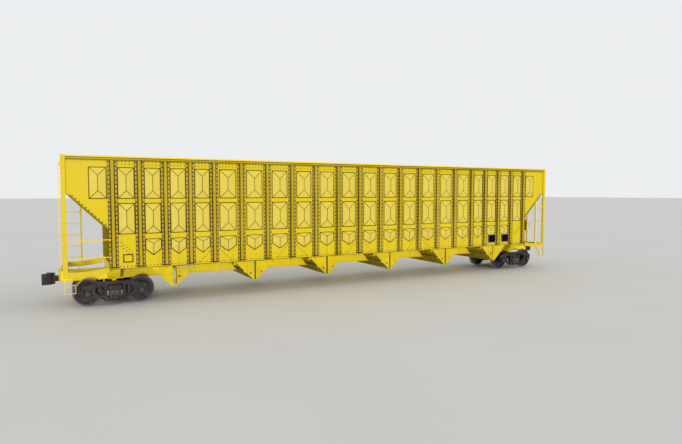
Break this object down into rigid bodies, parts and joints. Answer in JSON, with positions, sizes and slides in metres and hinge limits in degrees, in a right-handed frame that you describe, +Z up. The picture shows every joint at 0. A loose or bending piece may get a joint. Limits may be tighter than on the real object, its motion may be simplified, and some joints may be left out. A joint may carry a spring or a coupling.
{
  "type": "open hopper wagon",
  "caption": "Long open-topped hopper wagon with ribbed sides, sloped ends, swinging bottom doors and swivelling bogies.",
  "frame": {"origin": "on the centre line, midway between the bogies, level with the lowest points of the wheel flanges", "axes": "+X along the wagon towards end b, +Y across it towards the back side, +Z up"},
  "size_m": [22.146, 3, 4.8249],
  "materials": {
    "sheet_paint": "worn gloss yellow paint on steel sheet",
    "frame_paint": "worn gloss yellow paint on steel sections",
    "slope_paint": "scuffed yellow paint on steel plate",
    "door_paint": "scuffed yellow paint on steel plate",
    "underframe_paint": "dusty yellow paint on steel",
    "rail_paint": "yellow paint on round bar",
    "gear_paint": "dusty yellow paint on steel",
    "handwheel_iron": "dull black cast iron",
    "bogie_casting": "dull dark grey cast steel",
    "brake_iron": "dull dark cast iron",
    "spring_steel": "dark rolled steel",
    "wheel_steel": "rolled steel, bright on the tread",
    "axle_steel": "dark turned steel",
    "coupler_casting": "dull dark cast steel"
  },
  "bodies": {
    "wagon_body": {"air_brake_vessels": "gear_paint", "body_bolsters": "underframe_paint", "brake_stand": "gear_paint", "bulkheads": "slope_paint", "centre_sill": "underframe_paint", "corner_posts": "frame_paint", "corner_steps": "rail_paint", "door_hinges": "underframe_paint", "end_ladders": "rail_paint", "end_sheets": "sheet_paint", "end_side_rails": "frame_paint", "end_sills": "frame_paint", "end_slopes": "slope_paint", "end_top_rails": "frame_paint", "grab_rails": "rail_paint", "hopper_saddles": "slope_paint", "side_end_sheets": "sheet_paint", "side_ladders": "rail_paint", "side_posts": "frame_paint", "side_sheet_back": "sheet_paint", "side_sheet_front": "sheet_paint", "sill_hoods": "slope_paint", "strikers": "coupler_casting", "top_chords": "frame_paint", "uncoupling_levers": "gear_paint"},
    "coupler_a": {"coupler_a": "coupler_casting"},
    "knuckle_a": {"knuckle_a": "coupler_casting"},
    "bogie_a": {"bogie_a_bearings": "bogie_casting", "bogie_a_bolster": "bogie_casting", "bogie_a_brakes": "brake_iron", "bogie_a_frames": "bogie_casting", "bogie_a_springs": "spring_steel"},
    "wheelset_a_outer": {"wheels_a_outer": "wheel_steel", "axle_a_outer": "axle_steel"},
    "wheelset_a_inner": {"wheels_a_inner": "wheel_steel", "axle_a_inner": "axle_steel"},
    "coupler_b": {"coupler_b": "coupler_casting"},
    "knuckle_b": {"knuckle_b": "coupler_casting"},
    "bogie_b": {"bogie_b_bearings": "bogie_casting", "bogie_b_bolster": "bogie_casting", "bogie_b_brakes": "brake_iron", "bogie_b_frames": "bogie_casting", "bogie_b_springs": "spring_steel"},
    "wheelset_b_outer": {"wheels_b_outer": "wheel_steel", "axle_b_outer": "axle_steel"},
    "wheelset_b_inner": {"wheels_b_inner": "wheel_steel", "axle_b_inner": "axle_steel"},
    "door_1_b": {"door_1_b": "door_paint"},
    "door_2_a": {"door_2_a": "door_paint"},
    "door_2_b": {"door_2_b": "door_paint"},
    "door_3_a": {"door_3_a": "door_paint"},
    "door_3_b": {"door_3_b": "door_paint"},
    "door_4_a": {"door_4_a": "door_paint"},
    "door_4_b": {"door_4_b": "door_paint"},
    "door_5_a": {"door_5_a": "door_paint"},
    "door_5_b": {"door_5_b": "door_paint"},
    "door_6_a": {"door_6_a": "door_paint"},
    "brake_wheel": {"brake_wheel": "handwheel_iron"}
  },
  "joints": [
    {"name": "bogie_a_swivel", "type": "hinge", "parent": "wagon_body", "child": "bogie_a", "pos_m": [-8.965, 0, 0.705], "axis": [0, 0, 1], "range_deg": [-6, 6]},
    {"name": "wheelset_a_outer_roll", "type": "hinge", "parent": "bogie_a", "child": "wheelset_a_outer", "pos_m": [-9.7775, 0, 0.444], "axis": [0, 1, 0], "continuous": true},
    {"name": "wheelset_a_inner_roll", "type": "hinge", "parent": "bogie_a", "child": "wheelset_a_inner", "pos_m": [-8.1525, 0, 0.444], "axis": [0, 1, 0], "continuous": true},
    {"name": "coupler_a_swing", "type": "hinge", "parent": "wagon_body", "child": "coupler_a", "pos_m": [-9.99, 0, 0.865], "axis": [0, 0, 1], "range_deg": [-7, 7]},
    {"name": "knuckle_a_open", "type": "hinge", "parent": "coupler_a", "child": "knuckle_a", "pos_m": [-10.89, 0.095, 0.865], "axis": [0, 0, -1], "range_deg": [0, 45]},
    {"name": "bogie_b_swivel", "type": "hinge", "parent": "wagon_body", "child": "bogie_b", "pos_m": [8.965, 0, 0.705], "axis": [0, 0, 1], "range_deg": [-6, 6]},
    {"name": "wheelset_b_outer_roll", "type": "hinge", "parent": "bogie_b", "child": "wheelset_b_outer", "pos_m": [9.7775, 0, 0.444], "axis": [0, 1, 0], "continuous": true},
    {"name": "wheelset_b_inner_roll", "type": "hinge", "parent": "bogie_b", "child": "wheelset_b_inner", "pos_m": [8.1525, 0, 0.444], "axis": [0, 1, 0], "continuous": true},
    {"name": "coupler_b_swing", "type": "hinge", "parent": "wagon_body", "child": "coupler_b", "pos_m": [9.99, 0, 0.865], "axis": [0, 0, 1], "range_deg": [-7, 7]},
    {"name": "knuckle_b_open", "type": "hinge", "parent": "coupler_b", "child": "knuckle_b", "pos_m": [10.89, -0.095, 0.865], "axis": [0, 0, -1], "range_deg": [0, 45]},
    {"name": "door_1_b_swing", "type": "hinge", "parent": "wagon_body", "child": "door_1_b", "pos_m": [-6.45765, 0, 1.11465], "axis": [0, -1, 0], "range_deg": [0, 60]},
    {"name": "door_2_a_swing", "type": "hinge", "parent": "wagon_body", "child": "door_2_a", "pos_m": [-5.04835, 0, 1.11465], "axis": [0, 1, 0], "range_deg": [0, 60]},
    {"name": "door_2_b_swing", "type": "hinge", "parent": "wagon_body", "child": "door_2_b", "pos_m": [-3.63365, 0, 1.11465], "axis": [0, -1, 0], "range_deg": [0, 60]},
    {"name": "door_3_a_swing", "type": "hinge", "parent": "wagon_body", "child": "door_3_a", "pos_m": [-2.15435, 0, 1.11465], "axis": [0, 1, 0], "range_deg": [0, 60]},
    {"name": "door_3_b_swing", "type": "hinge", "parent": "wagon_body", "child": "door_3_b", "pos_m": [-0.73964, 0, 1.11465], "axis": [0, -1, 0], "range_deg": [0, 60]},
    {"name": "door_4_a_swing", "type": "hinge", "parent": "wagon_body", "child": "door_4_a", "pos_m": [0.73964, 0, 1.11465], "axis": [0, 1, 0], "range_deg": [0, 60]},
    {"name": "door_4_b_swing", "type": "hinge", "parent": "wagon_body", "child": "door_4_b", "pos_m": [2.15435, 0, 1.11465], "axis": [0, -1, 0], "range_deg": [0, 60]},
    {"name": "door_5_a_swing", "type": "hinge", "parent": "wagon_body", "child": "door_5_a", "pos_m": [3.63365, 0, 1.11465], "axis": [0, 1, 0], "range_deg": [0, 60]},
    {"name": "door_5_b_swing", "type": "hinge", "parent": "wagon_body", "child": "door_5_b", "pos_m": [5.04835, 0, 1.11465], "axis": [0, -1, 0], "range_deg": [0, 60]},
    {"name": "door_6_a_swing", "type": "hinge", "parent": "wagon_body", "child": "door_6_a", "pos_m": [6.45765, 0, 1.11465], "axis": [0, 1, 0], "range_deg": [0, 60]},
    {"name": "brake_wheel_turn", "type": "hinge", "parent": "wagon_body", "child": "brake_wheel", "pos_m": [10.48, -0.265, 2.03], "axis": [1, 0, 0], "continuous": true}
  ],
  "couplings": [
    {"joint": "door_2_b_swing", "follows": "door_2_a_swing", "ratio": 1},
    {"joint": "door_3_b_swing", "follows": "door_3_a_swing", "ratio": 1},
    {"joint": "door_4_b_swing", "follows": "door_4_a_swing", "ratio": 1},
    {"joint": "door_5_b_swing", "follows": "door_5_a_swing", "ratio": 1}
  ]
}
